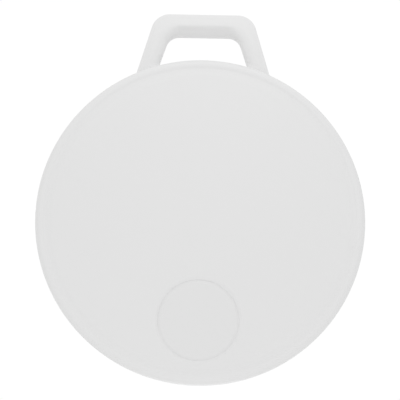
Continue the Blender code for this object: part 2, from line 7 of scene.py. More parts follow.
import json
from math import asin, atan2, copysign, cos, pi, radians, sin, sqrt, tan

import bmesh
import bpy
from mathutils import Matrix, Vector


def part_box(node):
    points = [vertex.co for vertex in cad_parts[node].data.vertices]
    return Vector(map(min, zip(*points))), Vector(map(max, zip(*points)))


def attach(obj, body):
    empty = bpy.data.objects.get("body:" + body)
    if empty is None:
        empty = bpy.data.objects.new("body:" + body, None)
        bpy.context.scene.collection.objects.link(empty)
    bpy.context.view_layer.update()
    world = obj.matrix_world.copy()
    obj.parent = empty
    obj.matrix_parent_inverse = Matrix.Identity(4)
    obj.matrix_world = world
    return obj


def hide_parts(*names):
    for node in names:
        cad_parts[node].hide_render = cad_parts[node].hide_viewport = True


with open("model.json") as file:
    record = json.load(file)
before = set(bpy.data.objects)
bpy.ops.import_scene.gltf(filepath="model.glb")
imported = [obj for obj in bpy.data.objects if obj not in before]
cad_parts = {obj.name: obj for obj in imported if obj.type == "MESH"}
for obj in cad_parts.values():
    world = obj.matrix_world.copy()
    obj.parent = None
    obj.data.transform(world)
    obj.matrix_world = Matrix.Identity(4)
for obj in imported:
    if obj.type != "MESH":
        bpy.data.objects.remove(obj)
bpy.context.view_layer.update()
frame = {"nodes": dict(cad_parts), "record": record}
MM = 0.001


def box_mm(node):
    """(low, high) corners of a CAD node, in millimetres."""
    low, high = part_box(node)
    return Vector(low) / MM, Vector(high) / MM


def radius_of(node):
    low, high = box_mm(node)
    return (high.x - low.x) / 2


def heights_of(node):
    """(lowest, highest) H of a CAD node."""
    low, high = box_mm(node)
    return -high.y, -low.y


def centre_of(node):
    """(x, z) of a CAD node's middle."""
    low, high = box_mm(node)
    return (low.x + high.x) / 2, (low.z + high.z) / 2


# Sizes read from the frame
BODY_RADIUS = radius_of("main_housing")
BODY_DEPTH = heights_of("main_housing")[1]
LOOP_TOP = box_mm("main_housing")[1].z
COVER_RADIUS = radius_of("front_cover")
COVER_BACK, COVER_FRONT = heights_of("front_cover")
BUTTON_FRONT = heights_of("button_cap")[1]
BUTTON_FLANGE_RADIUS = radius_of("button_cap")
BUTTON_CENTRE = centre_of("button_cap")
DOOR_RADIUS = radius_of("battery_door")
DOOR_CENTRE = centre_of("battery_door")
SKIRT_END = heights_of("battery_door")[1]
SEAL_LOW, SEAL_HIGH = heights_of("door_seal")
SEAL_OUTER = radius_of("door_seal")
CELL_RADIUS = radius_of("cell_can")
CELL_BACK, CELL_CRIMP = heights_of("cell_can")
BOARD_BACK = heights_of("circuit_board")[0]
SCREWS = ("board_screw_1", "board_screw_2", "board_screw_3")

# Body, in millimetres
CREST_RADIUS = 18.35
CREST_WIDTH = 0.10  # level, inside the crest
FRONT_ROUNDING_DEPTH = 1.2
BACK_RADIUS = 15.6
BACK_CURVE_ANGLE = 55.0
BACK_CORNER_INSET = 0.02
BACK_EDGE_ROUNDING = 0.35
BACK_LEVEL_RADIUS = BACK_RADIUS - 2.0  # the rounding of the back's edge turns towards here
BACK_WALL = 1.8
SEAM_RADIUS = COVER_RADIUS + 0.03  # the housing's rim and the cover meet in a shallow valley
SEAM_H = BODY_DEPTH - 0.15
COVER_SHOULDER = 0.76  # how far in the cover's edge starts to fall
COVER_SHOULDER_POWER = 1.3  # above 1, the fall is steeper towards the middle of the cover
LEDGE_RADIUS = 16.9
LEDGE_H = 6.70
CAVITY_CORNERS = (  # (radius, H, rounding), from the back wall up to the seam
    (15.0, BACK_WALL, 0), (15.6, BACK_WALL, 0.3), (16.3, 3.0, 0.4), (16.8, 4.0, 0.5),
    (LEDGE_RADIUS, 5.5, 0), (LEDGE_RADIUS, LEDGE_H, 0), (SEAM_RADIUS, LEDGE_H, 0),
)

# Button
BUTTON_RADIUS = 4.67
BUTTON_GAP = 0.002
BUTTON_EDGE = 0.42  # half the width of the valley round the button
BUTTON_EDGE_DROP = 0.15
BUTTON_SET_BACK = 0.04
BUTTON_SKIRT_INNER = 3.9
BUTTON_ROOF_H = 7.0
BUTTON_POST_RADIUS = 0.60
BUTTON_POST_H = 6.62
FLANGE_THICKNESS = 0.3
FLANGE_GAP = 0.05

# Battery door, its well and its seal
DOOR_THICKNESS = 1.0
DOOR_GAP = 0.06
DOOR_EDGE = 0.22
DOOR_GUARD = 2.0  # a ring this far in keeps the edge's shading off the flat back
DOOR_SEAT_GAP = 0.05
SKIRT_OUTER = 10.75
SKIRT_INNER = 10.15
SKIRT_EDGE = 0.12
RIB_COUNT = 6
RIB_RADIUS = 0.21
RIB_EDGE = 0.05
RIB_EDGE_H = 0.10
RIB_LOW_H = 1.3
RIB_HIGH_H = 2.0
RIB_SET_IN = 0.14
WELL_RADIUS = 10.9
WELL_WALL = 0.8
WELL_END_H = 4.80
WELL_EDGE = 0.2
NOTCH_OUTLINE = (  # (radius, H) of the pry notch's dish, from outside the back
    (0.0, -0.8), (1.72, -0.8), (1.62, 0.0), (1.50, 0.12),
    (1.30, 0.38), (0.9, 0.62), (0.45, 0.73), (0.0, 0.76),
)
RECESS_LEAD = 0.10  # rounding at the mouth of the recess
INNER_EDGE = 0.05  # small chamfers in the recess and the well
SEAL_WIDTH = 0.6
SEAL_INNER = SEAL_OUTER - SEAL_WIDTH
GROOVE_SIDE_GAP = 0.10
GROOVE_END_GAP = 0.04
FOAM_SWELL = 0.06

# Coin cell
CELL_FLAT = 8.9  # radius of the fine groove round the can's base
GROOVE_DEPTH = 0.03
GROOVE_SIDE = ((-0.20, 0.0), (-0.12, 0.0), (-0.04, GROOVE_DEPTH))  # across it, to its middle
CELL_MOUTH = 9.2
CAN_WALL = 0.25
CAN_EDGE = 0.30
CRIMP_LIP = 0.20
CRIMP_EDGE = 0.06
PLUS_SIZE = 3.0
PLUS_WIDTH = 0.55
PLUS_PLACE = 5.2
PLUS_DEPTH = 0.06
PLUS_TAPER = 0.03

# Screw bosses
BOSS_RADIUS = 1.35
BOSS_EDGE = 0.12
BOSS_ROOT = 0.4  # how far the boss is sunk into the back wall
BOSS_GAP = 0.02  # between the boss and the board
PILOT_RADIUS = 0.72
PILOT_LEAD = 0.15
PILOT_END_H = 2.4

# Key loop
LOOP_HALF_WIDTH = 5.62
LOOP_SPLAY = 0.30
LOOP_CORNER = 2.2
HOLE_TOP = 22.335
HOLE_HALF_WIDTH = 4.00
HOLE_SPLAY = 0.33
HOLE_CORNER = 1.6
HOLE_BACK_ROUNDING = 0.25
LOOP_BACK_H = 4.10
LOOP_FRONT_H = 6.45
LOOP_CHAMFER = 1.08
LOOP_CHAMFER_DEPTH = 1.18
LOOP_HOLLOW_OUTSET = 0.74
LOOP_HOLLOW_DEPTH = 0.58
LOOP_HOLLOW_ROUNDING = 0.8
LOOP_FRONT_OUTSET = 1.6  # where the front of the bar starts, out from the hole
LOOP_FRONT_RISE = 0.05  # from the shoulder to there
LOOP_RIDGE_ROUNDING = 0.22
LEG_ROUNDING_WIDTH = 1.30  # on the legs the edge of the hole is one wide, soft rounding
LEG_ROUNDING_DEPTH = 1.00
LOOP_ROUNDING = 0.40
LOOP_FRONT_TILT = 0.16
SOFT_START = 1.8  # how far from the middle of the bar its ridge starts to soften
SOFT_END = 4.6
FOOT_FILLET = 0.55
HOLE_FILLET = 0.50
FOOT_END_RADIUS = 17.5  # the feet end inside the body
LEAST_CORNER = 0.05

# Fineness: steps round a circle
FINE = 240
MEDIUM = 144
SMALL = 48
TINY = 24

# Fineness: steps along an outline
ARC = 8
VALLEY_STEPS = 16
FRONT_STEPS = 18
SIDE_STEPS = 38
PLATE_STEPS = 16
SHOULDER_STEPS = 20
CROWN_STEPS = 20
SEAL_STEPS = 32
EDGE_STEPS = 17
LEG_POINTS = 5
FLAT_SHARES = (0.02, 0.1, 0.3, 0.5, 0.7, 0.9, 0.98)  # rings across a flat, close to its edges too

# Mesh clean-up, shading and wear
WELD = 0.0001  # closer points are one point
SLIVER = 0.001  # shorter edges are dissolved after a Boolean
SHARP_ANGLE = 35.0
NO_SIZE = 0.000001  # a smaller radius or length counts as none
ROUNDING_ERROR = 0.000000001
WEAR_REACH = 0.02
WEAR_BEND = 4.0  # the bend, per millimetre, that counts as fully worn

# Light and camera, in metres and watts
FLOOR_Z = -0.40
FLOOR_HALF_WIDTH = 3.0
SKY_SEEN = 1.01  # overexposed white, like a lit studio background
SKY_LIGHT = 0.865
TOP_PLACE = (0.002, -0.037, 0.040)
TOP_SIZE = 0.030
TOP_WATTS = 0.0013
FRONT_LOW_PLACE = (0.0, -0.055, -0.12)
FRONT_LOW_WATTS = 0.009
REAR_LOW_PLACE = (0.0, 0.10, -0.06)
REAR_LOW_WATTS = 0.006
LOW_SIZE = 0.06
CAMERA_ELEVATION = -10.41
CAMERA_ROLL = 1.10
CAMERA_DISTANCE = 0.300
CAMERA_LENS = 233.1
CAMERA_NEAR = 0.01
CAMERA_FAR = 20.0
AIM_ABOVE_CENTRE = 0.002773
AIM_RIGHT = -0.000070
AIM_DEPTH = 0.005


# ----------------------------------------------------------------------------------------- meshes


def rounded(corners, closed=True):
    """An outline from (u, v, radius) corners, with an arc at each corner that has a radius."""
    points = []
    count = len(corners)
    for i, (u, v, radius) in enumerate(corners):
        here = Vector((u, v))
        if radius == 0 or (not closed and i in (0, count - 1)):
            points.append((u, v))
            continue
        to_last = (Vector(corners[i - 1][:2]) - here).normalized()
        to_next = (Vector(corners[(i + 1) % count][:2]) - here).normalized()
        half = to_last.angle(to_next) / 2
        start = here + to_last * (radius / tan(half))
        centre = here + (to_last + to_next).normalized() * (radius / sin(half))
        arm = start - centre
        sweep = pi - 2 * half
        if to_last.x * to_next.y - to_last.y * to_next.x > 0:
            sweep = -sweep
        for step in range(ARC):
            angle = sweep * step / (ARC - 1)
            across = arm.x * cos(angle) - arm.y * sin(angle)
            along = arm.x * sin(angle) + arm.y * cos(angle)
            points.append((centre.x + across, centre.y + along))
    return points


def new_piece(name, shape, material):
    """A smooth-shaded object, still in millimetres, from a bmesh."""
    bmesh.ops.recalc_face_normals(shape, faces=shape.faces)
    mesh = bpy.data.meshes.new(name)
    shape.to_mesh(mesh)
    shape.free()
    mesh.shade_smooth()
    mesh.set_sharp_from_angle(angle=radians(SHARP_ANGLE))
    mesh.materials.append(material)
    obj = bpy.data.objects.new(name, mesh)
    bpy.context.scene.collection.objects.link(obj)
    return obj


def ringed(name, rings, material, steps):
    """A closed surface through circles (x, z, radius, H), the last joined to the first."""
    shape = bmesh.new()
    angles = [2 * pi * step / steps for step in range(steps)]
    loops = []
    for x, z, radius, height in rings:
        if radius < NO_SIZE:
            loops.append([shape.verts.new((x, -height, z))])
            continue
        places = [(x + radius * cos(angle), -height, z + radius * sin(angle)) for angle in angles]
        loops.append([shape.verts.new(place) for place in places])
    for lower, upper in zip(loops, loops[1:] + loops[:1]):
        if len(lower) == 1 and len(upper) == 1:
            continue
        for step in range(steps):
            ahead = (step + 1) % steps
            corners = [lower[step % len(lower)], lower[ahead % len(lower)]]
            corners += [upper[ahead % len(upper)], upper[step % len(upper)]]
            shape.faces.new(dict.fromkeys(corners))
    return new_piece(name, shape, material)


def turned(name, outline, material, centre, steps=MEDIUM):
    """A body turned about the H axis through centre, from its closed (radius, H) half section."""
    return ringed(name, [(*centre, radius, height) for radius, height in outline], material, steps)


def quarter_round(radius, height, size):
    """Points of an outer edge's rounding, from its face at (radius - size, height) outwards."""
    angles = [pi / 2 * step / ARC for step in range(ARC + 1)]
    return [(radius - size * (1 - sin(angle)), height - size * (1 - cos(angle))) for angle in angles]


def soft_edge(radius, height, width, depth):
    """Points of an edge that falls in a gentle S, from (radius - width, height) out to radius."""
    shares = [step / ARC for step in range(ARC + 1)]
    return [(radius - width * (1 - share), height - depth * smooth_step(share)) for share in shares]


def between(first, last, shares):
    """Circles (x, z, radius, H) part of the way from one circle to another."""
    return [tuple(a + (b - a) * share for a, b in zip(first, last)) for share in shares]


def smooth_step(share):
    return share * share * (3 - 2 * share)


def mark_edges(mesh):
    """Keep each point's outward curvature, which is where handling wears the plastic."""
    wear = mesh.attributes.new("edge_wear", "FLOAT", "POINT")
    shape = bmesh.new()
    shape.from_mesh(mesh)
    for vertex in shape.verts:
        bends = [0.0]
        for edge in vertex.link_edges:
            if len(edge.link_faces) == 2:
                area = sum(face.calc_area() for face in edge.link_faces)
                reach = area / max(edge.calc_length(), NO_SIZE)
                bends.append(edge.calc_face_angle_signed(0.0) / (reach + WEAR_REACH))
        wear.data[vertex.index].value = min(1.0, max(bends) / WEAR_BEND)
    shape.free()


def combined(obj, other, operation):
    """Boolean of two pieces in millimetres, applied at once; the second one is used up.

    Its many-sided faces are split up and its slivers dissolved, so that no stray faces are left.
    """
    change = obj.modifiers.new("change", "BOOLEAN")
    change.operation = operation
    change.object = other
    change.solver = "EXACT"
    bpy.context.view_layer.update()
    evaluated = obj.evaluated_get(bpy.context.evaluated_depsgraph_get())
    mesh = bpy.data.meshes.new_from_object(evaluated)
    obj.modifiers.clear()
    obj.data = mesh
    shape = bmesh.new()
    shape.from_mesh(mesh)
    bmesh.ops.remove_doubles(shape, verts=shape.verts, dist=WELD)
    bmesh.ops.triangulate(shape, faces=[face for face in shape.faces if len(face.verts) > 4])
    bmesh.ops.dissolve_degenerate(shape, edges=shape.edges, dist=SLIVER)
    shape.to_mesh(mesh)
    shape.free()
    mesh.set_sharp_from_angle(angle=radians(SHARP_ANGLE))
    bpy.data.objects.remove(other, do_unlink=True)


def placed(obj, body, node):
    """Scale a finished piece to metres, and tie it to the frame."""
    mark_edges(obj.data)
    for vertex in obj.data.vertices:
        vertex.co *= MM
    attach(obj, body)
    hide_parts(node)


# -------------------------------------------------------------------------------------- materials


class Nodes:
    """A short way to write a node material."""

    def __init__(self, name):
        self.material = bpy.data.materials.new(name)
        self.material.use_nodes = True
        self.tree = self.material.node_tree
        self.shader = self.tree.nodes["Principled BSDF"]

    def add(self, kind, inputs=None, **settings):
        node = self.tree.nodes.new(kind)
        for key, value in settings.items():
            setattr(node, key, value)
        for key, value in (inputs or {}).items():
            self.set(node.inputs[key], value)
        return node

    def set(self, socket, value):
        """Link an input to another node's output, or give it a plain value."""
        if isinstance(value, bpy.types.NodeSocket):
            self.tree.links.new(value, socket)
        else:
            socket.default_value = value

    def feed(self, name, value):
        self.set(self.shader.inputs[name], value)

    def place(self):
        return self.add("ShaderNodeTexCoord").outputs["Object"]

    def noise(self, scale, detail=2.0, vector=None):
        inputs = {"Scale": scale, "Detail": detail, "Vector": vector or self.place()}
        return self.add("ShaderNodeTexNoise", inputs).outputs["Fac"]

    def spread(self, share, low, high):
        """Low where the share is 0, and high where it is 1."""
        inputs = {"Value": share, "To Min": low, "To Max": high}
        return self.add("ShaderNodeMapRange", inputs).outputs["Result"]

    def blend(self, share, first, second):
        """One colour turning into another; the numbers are a colour mix's own sockets."""
        node = self.add("ShaderNodeMix", data_type="RGBA")
        for key, value in ((0, share), (6, first), (7, second)):
            self.set(node.inputs[key], value)
        return node.outputs[2]

    def bump(self, height, distance):
        inputs = {"Height": height, "Distance": distance}
        return self.add("ShaderNodeBump", inputs).outputs["Normal"]


def rgba(colour, change=1.0):
    return tuple(min(1.0, part * change) for part in colour) + (1.0,)


def moulded_plastic(name, colour, roughness):
    """Fine eroded mould texture, faint colour drift, and edges made paler by handling."""
    nodes = Nodes(name)
    drift = nodes.noise(70.0, 3.0)
    worn = nodes.add("ShaderNodeAttribute", attribute_name="edge_wear").outputs["Fac"]
    base = nodes.blend(drift, rgba(colour, 0.985), rgba(colour))
    nodes.feed("Base Color", nodes.blend(worn, base, rgba(colour, 1.02)))
    nodes.feed("Roughness", nodes.spread(nodes.noise(400.0, 4.0), roughness - 0.04, roughness + 0.04))
    nodes.feed("Normal", nodes.bump(nodes.noise(9000.0, 3.0), 0.0000015))
    nodes.feed("Specular IOR Level", 0.4)
    return nodes.material


def metal(name, colour, roughness, grain=(400.0, 400.0, 9000.0), depth=0.0000010):
    """Rolled or drawn metal: lay lines along one way, and faint tarnish."""
    nodes = Nodes(name)
    stretched = nodes.add("ShaderNodeMapping", {"Vector": nodes.place(), "Scale": grain}).outputs["Vector"]
    lay = nodes.noise(1.0, 3.0, stretched)
    tarnish = nodes.noise(250.0, 4.0)
    nodes.feed("Base Color", nodes.blend(tarnish, rgba(colour, 0.88), rgba(colour, 1.04)))
    nodes.feed("Metallic", 1.0)
    nodes.feed("Roughness", nodes.spread(lay, roughness - 0.06, roughness + 0.08))
    nodes.feed("Normal", nodes.bump(lay, depth))
    return nodes.material


def soft_solid(name, colour, roughness, grain=2500.0, depth=0.00001):
    """Foam, tape, rubber and pressed powder: a matt, slightly pitted surface."""
    nodes = Nodes(name)
    pits = nodes.noise(grain, 4.0)
    nodes.feed("Base Color", nodes.blend(pits, rgba(colour, 0.8), rgba(colour, 1.1)))
    nodes.feed("Roughness", nodes.spread(pits, roughness - 0.05, roughness + 0.05))
    nodes.feed("Normal", nodes.bump(pits, depth))
    nodes.feed("Specular IOR Level", 0.3)
    return nodes.material


SHELL = moulded_plastic("white_shell_plastic", (0.87, 0.87, 0.87), 0.46)
BUTTON_LOOK = moulded_plastic("white_button_plastic", (0.86, 0.86, 0.86), 0.44)
BLACK_PLASTIC = moulded_plastic("black_moulding", (0.02, 0.02, 0.022), 0.5)
STEEL = metal("stainless_steel", (0.62, 0.62, 0.61), 0.30, (900.0, 900.0, 2500.0), 0.0000002)
SPRING = metal("gold_plated_spring", (0.86, 0.68, 0.34), 0.24)
BRASS = metal("rolled_brass", (0.80, 0.60, 0.26), 0.32)
LITHIUM = metal("lithium_foil", (0.55, 0.55, 0.58), 0.45)
SEAL = soft_solid("grey_silicone", (0.50, 0.51, 0.53), 0.55, 1200.0, 0.000004)
FOAM = soft_solid("black_foam", (0.03, 0.03, 0.032), 0.95, 3500.0, 0.00004)
TAPE = soft_solid("adhesive_tape", (0.70, 0.67, 0.58), 0.5)
POWDER = soft_solid("cathode_powder", (0.025, 0.025, 0.027), 0.85)
CHIP = soft_solid("chip_epoxy", (0.02, 0.02, 0.022), 0.5, 6000.0, 0.000003)
CERAMIC_TAN = soft_solid("capacitor_ceramic", (0.45, 0.30, 0.18), 0.5, 5000.0, 0.000002)
CERAMIC_WHITE = soft_solid("antenna_ceramic", (0.74, 0.73, 0.70), 0.4, 5000.0, 0.000002)
SILVERED = soft_solid("silvered_ceramic", (0.70, 0.69, 0.66), 0.35, 4000.0, 0.000002)


def board_material():
    """Green solder mask over copper tracks, which show as raised, lighter lines."""
    black, white = (0, 0, 0, 1), (1, 1, 1, 1)
    nodes = Nodes("board_solder_mask")
    upright = nodes.add("ShaderNodeMapping", {"Vector": nodes.place(), "Rotation": (pi / 2, 0, 0)})
    layout = {"Vector": upright.outputs["Vector"], "Scale": 260.0, "Mortar Size": 0.06}
    layout.update({"Color1": black, "Color2": black, "Mortar": white})
    tracks = nodes.add("ShaderNodeTexBrick", layout).outputs["Fac"]
    green = nodes.blend(nodes.noise(300.0), (0.008, 0.075, 0.030, 1), (0.012, 0.095, 0.040, 1))
    nodes.feed("Base Color", nodes.blend(tracks, green, (0.03, 0.17, 0.07, 1)))
    nodes.feed("Roughness", nodes.spread(nodes.noise(900.0), 0.24, 0.34))
    nodes.feed("Normal", nodes.bump(tracks, 0.00002))
    return nodes.material


BOARD = board_material()

LOOKS = {
    "shell": SHELL, "button": BUTTON_LOOK, "black_moulding": BLACK_PLASTIC, "board": BOARD, "chip": CHIP,
    "capacitor": CERAMIC_TAN, "antenna": CERAMIC_WHITE, "steel": STEEL, "spring": SPRING, "brass": BRASS,
    "piezo": SILVERED, "seal": SEAL, "foam": FOAM, "adhesive": TAPE, "cathode": POWDER, "lithium": LITHIUM,
}


def paint_cad_nodes():
    """Each CAD node takes the look of its record slot."""
    for part in frame["record"]["subparts"]:
        obj = frame["nodes"][part["node"]]
        look = LOOKS[part["material_slot"]]
        for slot in obj.material_slots:
            slot.material = look
        if not obj.material_slots:
            obj.data.materials.append(look)


# ------------------------------------------------------------------------------------ main housing


def body_radius_at(height):
    """The outside radius of the body at a height behind the front rounding."""
    reach = BODY_DEPTH - FRONT_ROUNDING_DEPTH
    last = radians(BACK_CURVE_ANGLE)
    if height >= reach:
        share = sqrt(max(0.0, 1 - ((BODY_DEPTH - height) / FRONT_ROUNDING_DEPTH - 1) ** 2))
        return CREST_RADIUS + (BODY_RADIUS - CREST_RADIUS) * share
    angle = asin((1 - height / reach) * sin(last))
    return BODY_RADIUS - (BODY_RADIUS - BACK_RADIUS) * (1 - cos(angle)) / (1 - cos(last))


def outer_outline():
    """(radius, H) points of the outside, from the seam round the front and down to the back."""
    points = []
    level = CREST_RADIUS - CREST_WIDTH
    for step in range(VALLEY_STEPS + 1):
        share = step / VALLEY_STEPS
        radius = SEAM_RADIUS + (level - SEAM_RADIUS) * share
        points.append((radius, SEAM_H + (BODY_DEPTH - SEAM_H) * smooth_step(share)))
    points.append((CREST_RADIUS, BODY_DEPTH))
    for step in range(1, FRONT_STEPS + 1):
        angle = pi / 2 * step / FRONT_STEPS
        radius = CREST_RADIUS + (BODY_RADIUS - CREST_RADIUS) * sin(angle)
        points.append((radius, BODY_DEPTH - FRONT_ROUNDING_DEPTH * (1 - cos(angle))))
    reach = BODY_DEPTH - FRONT_ROUNDING_DEPTH
    for step in range(1, SIDE_STEPS - 1):
        height = reach * (1 - step / SIDE_STEPS)
        points.append((body_radius_at(height), height))
    corner = (BACK_RADIUS - BACK_CORNER_INSET, 0.0, BACK_EDGE_ROUNDING)
    edge = rounded([(*points[-1], 0), corner, (BACK_LEVEL_RADIUS, 0.0, 0)], False)
    return points + edge[1:-1]


def opening_outline():
    """(radius, H) points of the door's recess, seal groove and well, from the back inwards."""
    recess = DOOR_RADIUS + DOOR_GAP
    ledge = DOOR_THICKNESS + DOOR_SEAT_GAP
    groove_outer, groove_inner = SEAL_OUTER + GROOVE_SIDE_GAP, SEAL_INNER - GROOVE_SIDE_GAP
    groove_end = SEAL_HIGH + GROOVE_END_GAP
    well_outer = WELL_RADIUS + WELL_WALL
    lead = quarter_round(RECESS_LEAD, 0.0, RECESS_LEAD)
    lip = [(recess + RECESS_LEAD - radius, -height) for radius, height in lead]
    ledge_and_groove = [
        (recess, ledge - INNER_EDGE), (recess - INNER_EDGE, ledge),
        (groove_outer, ledge), (groove_outer, groove_end), (groove_inner, groove_end), (groove_inner, ledge),
    ]
    well = [
        (WELL_RADIUS + INNER_EDGE, ledge), (WELL_RADIUS, ledge + INNER_EDGE),
        (WELL_RADIUS, WELL_END_H - WELL_EDGE), (WELL_RADIUS + WELL_EDGE, WELL_END_H),
    ]
    rim = quarter_round(well_outer, WELL_END_H, WELL_EDGE)
    return lip + ledge_and_groove + well + rim + [(well_outer, BACK_WALL + INNER_EDGE)]


def arch(top, half_width, splay, corner, inset, height, fillet):
    """One lengthwise line of the loop, from its left foot to its right foot, as (x, H, z) points.

    It is the outline, a flat top over two splayed legs, offset inwards by inset. Each foot flares into
    the body with a fillet: outwards for the outside of the loop, or towards the middle for its hole,
    which has a negative fillet.
    """
    slope = sqrt(1 + splay * splay)
    top = top - inset
    half_width = half_width - inset * slope + splay * inset
    corner = max(corner - inset, LEAST_CORNER)
    half_turn = (pi / 2 - atan2(splay, 1.0)) / 2
    centre = Vector((half_width - corner * tan(half_turn), top - corner))
    right = []
    corner_steps = 2 * ARC
    for step in range(corner_steps):
        angle = pi / 2 - 2 * half_turn * step / (corner_steps - 1)
        right.append(centre + Vector((cos(angle), sin(angle))) * corner)
    down = Vector((splay, -1.0)).normalized()
    outward = Vector((1.0, splay)).normalized()
    foot = Vector((half_width, top))

    def meets(radius, offset):
        """Where the line, moved outwards by offset, meets the circle of that radius."""
        start = foot + outward * offset
        along = -start.dot(down) - sqrt(start.dot(down) ** 2 - start.dot(start) + radius * radius)
        return start + down * along

    surface = body_radius_at(height)
    hub = meets(surface + abs(fillet), fillet)
    on_line = hub - outward * fillet
    on_circle = hub * (surface / hub.length)
    first = atan2(*(on_line - hub).yx)
    last = atan2(*(on_circle - hub).yx)
    if (last - first) * fillet < 0:
        last += copysign(2 * pi, fillet)
    corner_end = right[-1]
    for step in range(1, LEG_POINTS):
        right.append(corner_end.lerp(on_line, step / LEG_POINTS))
    for step in range(ARC):
        angle = first + (last - first) * step / (ARC - 1)
        right.append(hub + Vector((cos(angle), sin(angle))) * abs(fillet))
    right.append(right[-1] * (FOOT_END_RADIUS / surface))
    line = [(-point.x, point.y) for point in reversed(right)] + [(point.x, point.y) for point in right]
    return [(x, height, z) for x, z in line]


def even_steps(points, count):
    """The same open line through count evenly spaced points."""
    lengths = [0.0]
    for first, second in zip(points, points[1:]):
        lengths.append(lengths[-1] + (Vector(second) - Vector(first)).length)
    line = []
    for step in range(count):
        along = lengths[-1] * step / (count - 1)
        i = max(k for k in range(len(points) - 1) if lengths[k] <= along + ROUNDING_ERROR)
        share = min(1.0, (along - lengths[i]) / (lengths[i + 1] - lengths[i]))
        line.append(tuple(Vector(points[i]).lerp(Vector(points[i + 1]), share)))
    return line


def mixed(crisp, soft):
    """A point of the loop's inner edge: crisp in the middle of the bar, soft on the legs."""
    share = smooth_step(min(1.0, max(0.0, (abs(crisp[0]) - SOFT_START) / (SOFT_END - SOFT_START))))
    return tuple(a + (b - a) * share for a, b in zip(crisp, soft))


def outer_line(inset, height):
    """A line of the loop's outside."""
    return arch(LOOP_TOP, LOOP_HALF_WIDTH, LOOP_SPLAY, LOOP_CORNER, inset, height, FOOT_FILLET)


def hole_line(outset, height):
    """A line round the loop's hole."""
    return arch(HOLE_TOP, HOLE_HALF_WIDTH, HOLE_SPLAY, HOLE_CORNER, -outset, height, -HOLE_FILLET)


def loop_lines():
    """The loop's lengthwise lines, in order round its section.

    Its front leans outwards from a ridge. Inside the ridge the edge slopes in to the hole: crisply
    along the top bar, and as a wide rounding on the legs.
    """
    quarter = [pi / 2 * step / (ARC - 1) for step in range(ARC)]
    shoulder = LOOP_FRONT_H - LOOP_FRONT_TILT
    lines = []
    for angle in quarter:
        inset = LOOP_ROUNDING * (1 - sin(angle))
        lines.append(outer_line(inset, LOOP_BACK_H + LOOP_ROUNDING * (1 - cos(angle))))
    for angle in quarter:
        inset = LOOP_ROUNDING * (1 - cos(angle))
        lines.append(outer_line(inset, shoulder - LOOP_ROUNDING * (1 - sin(angle))))

    ridge = (LOOP_CHAMFER, LOOP_FRONT_H, LOOP_RIDGE_ROUNDING)
    hollow = (LOOP_HOLLOW_OUTSET, LOOP_FRONT_H - LOOP_HOLLOW_DEPTH, LOOP_HOLLOW_ROUNDING)
    front = (LOOP_FRONT_OUTSET, shoulder + LOOP_FRONT_RISE, 0)
    bar = rounded([front, ridge, hollow, (0.0, LOOP_FRONT_H - LOOP_CHAMFER_DEPTH, 0)], False)
    for step, (outset, height) in enumerate(even_steps(bar, EDGE_STEPS)):
        angle = pi / 2 * step / (EDGE_STEPS - 1)
        leg_outset = LEG_ROUNDING_WIDTH * (1 - sin(angle))
        leg_height = LOOP_FRONT_H - LEG_ROUNDING_DEPTH * (1 - cos(angle))
        crisp = hole_line(outset, height)
        soft = hole_line(leg_outset, leg_height)
        lines.append([mixed(a, b) for a, b in zip(crisp, soft)])
    for angle in quarter:
        outset = HOLE_BACK_ROUNDING * (1 - cos(angle))
        lines.append(hole_line(outset, LOOP_BACK_H + HOLE_BACK_ROUNDING * (1 - sin(angle))))
    return lines


def key_loop():
    """The loop, lofted through its lines and closed at its two feet."""
    shape = bmesh.new()
    grid = [[shape.verts.new((x, -height, z)) for x, height, z in line] for line in loop_lines()]
    for lower, upper in zip(grid, grid[1:] + grid[:1]):
        for i in range(len(lower) - 1):
            shape.faces.new((lower[i], lower[i + 1], upper[i + 1], upper[i]))
    shape.faces.new([line[0] for line in grid])
    shape.faces.new([line[-1] for line in reversed(grid)])
    return new_piece("key_loop", shape, SHELL)


def housing_shell():
    """The body without its loop: outside, back, the door's opening, and the cavity."""
    door_x, door_z = DOOR_CENTRE
    outside = [(0.0, 0.0, radius, height) for radius, height in outer_outline()]
    opening = [(door_x, door_z, radius, height) for radius, height in opening_outline()]
    inside = [(0.0, 0.0, radius, height) for radius, height in rounded(CAVITY_CORNERS, False)]
    well_foot = (*opening[-1][:3], BACK_WALL)
    rings = outside + between(outside[-1], opening[0], FLAT_SHARES) + opening
    rings += between(well_foot, inside[0], (0.0, *FLAT_SHARES)) + inside
    return ringed("housing_and_loop", rings, SHELL, FINE)


def screw_boss(screw):
    """A boss with a pilot hole, round one screw's axis."""
    root = BACK_WALL - BOSS_ROOT
    top = BOARD_BACK - BOSS_GAP
    outline = [
        (0.0, root), (BOSS_RADIUS, root), *quarter_round(BOSS_RADIUS, top, BOSS_EDGE)[::-1],
        (PILOT_RADIUS + PILOT_LEAD, top), (PILOT_RADIUS, top - PILOT_LEAD),
        (PILOT_RADIUS, PILOT_END_H), (0.0, PILOT_END_H),
    ]
    return turned("boss", outline, SHELL, centre_of(screw), SMALL)


def pry_notch():
    """The cutter for a dished notch at the door's lower edge, where a fingernail goes in."""
    x, z = DOOR_CENTRE
    return turned("notch", NOTCH_OUTLINE, SHELL, (x, z - DOOR_RADIUS - DOOR_GAP), SMALL)


def main_housing():
    housing = housing_shell()
    combined(housing, key_loop(), "UNION")
    for screw in SCREWS:
        combined(housing, screw_boss(screw), "UNION")
    combined(housing, pry_notch(), "DIFFERENCE")
    placed(housing, "housing", "main_housing")


# ----------------------------------------------------------------------------- cover, button, door


